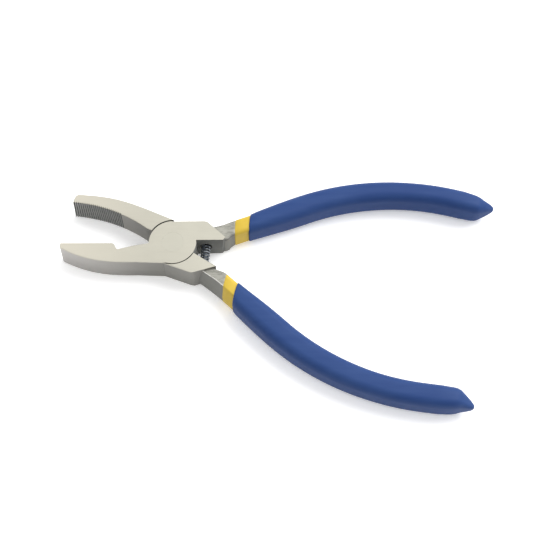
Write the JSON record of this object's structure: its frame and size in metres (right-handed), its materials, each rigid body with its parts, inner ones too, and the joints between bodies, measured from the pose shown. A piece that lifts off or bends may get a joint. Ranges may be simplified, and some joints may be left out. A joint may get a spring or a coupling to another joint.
{
  "type": "glass breaking and grozing pliers",
  "caption": "Spring-opened lap-joint pliers for snapping and trimming sheet glass: one straight jaw, one hollow jaw, twice-dipped bow handles.",
  "frame": {"origin": "on the pivot axis, in the flush underside face of the rivet that the pliers lie on", "axes": "+Z along the pivot axis, away from the underside; -X towards the jaws along the straight jaw's edge; +X towards the handles; +Y towards the front lever's handle"},
  "size_m": [0.1578, 0.0884, 0.0112],
  "materials": {
    "forged_steel": "satin, linished on the flats and as forged on the shanks",
    "spring_steel": "dark oiled wire",
    "yellow_vinyl": "soft satin dip",
    "blue_vinyl": "soft satin dip"
  },
  "bodies": {
    "front": {"front_lever": "forged_steel", "pivot_rivet": "forged_steel", "front_undercoat": "yellow_vinyl", "front_grip": "blue_vinyl", "return_spring": "spring_steel"},
    "rear": {"rear_lever": "forged_steel", "rear_undercoat": "yellow_vinyl", "rear_grip": "blue_vinyl"}
  },
  "joints": [
    {"name": "pivot_hinge", "type": "hinge", "parent": "front", "child": "rear", "pos_m": [0, 0, 0], "axis": [0, 0, 1], "range_deg": [0, 23.6], "stiffness_Nm_per_rad": 0.33, "springref_deg": -17.19, "deforming": ["return_spring"]}
  ]
}
